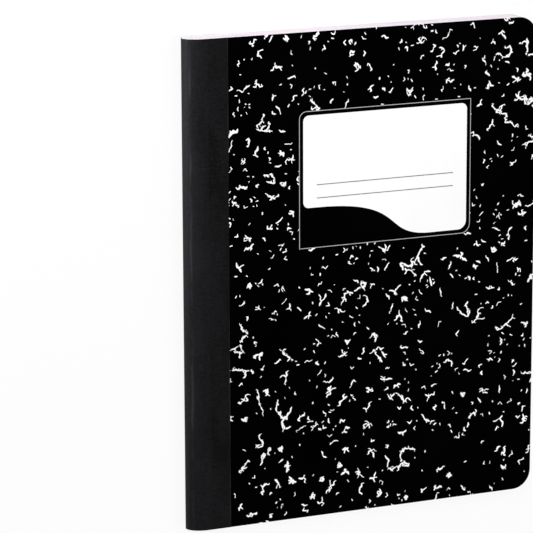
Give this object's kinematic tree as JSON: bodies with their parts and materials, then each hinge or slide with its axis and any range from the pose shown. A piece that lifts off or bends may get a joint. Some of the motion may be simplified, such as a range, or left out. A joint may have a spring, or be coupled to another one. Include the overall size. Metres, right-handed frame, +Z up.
{
  "type": "composition notebook",
  "caption": "Closed composition notebook with stiff marbled cover boards, a bare name panel, rounded fore-edge corners, a sewn page section and a cloth-taped spine.",
  "frame": {"origin": "under the middle of the closed notebook, on the plane it lies on", "axes": "+Z up through the front cover, +Y to the head, +X to the fore edge, the spine at -X"},
  "size_m": [0.1906, 0.2476, 0.013],
  "materials": {
    "front_cover": "semi-gloss marbled print, black and white",
    "back_cover": "semi-gloss marbled print, black and white",
    "page_block": "matte, cut edges",
    "spine_tape": "coated book cloth, satin",
    "binding_thread": "matte sewing thread"
  },
  "bodies": {
    "pages": {"page_block": "page_block", "binding_thread": "binding_thread", "spine_tape": "spine_tape"},
    "front": {"front_cover": "front_cover"},
    "back": {"back_cover": "back_cover"}
  },
  "joints": [
    {"name": "front_cover_hinge", "type": "hinge", "parent": "pages", "child": "front", "pos_m": [-0.09525, 0, 0.0065], "axis": [0, -1, 0], "range_deg": [0, 180], "deforming": ["spine_tape"]},
    {"name": "back_cover_hinge", "type": "hinge", "parent": "pages", "child": "back", "pos_m": [-0.09525, 0, 0.0065], "axis": [0, 1, 0], "range_deg": [0, 180], "deforming": ["spine_tape"]}
  ]
}
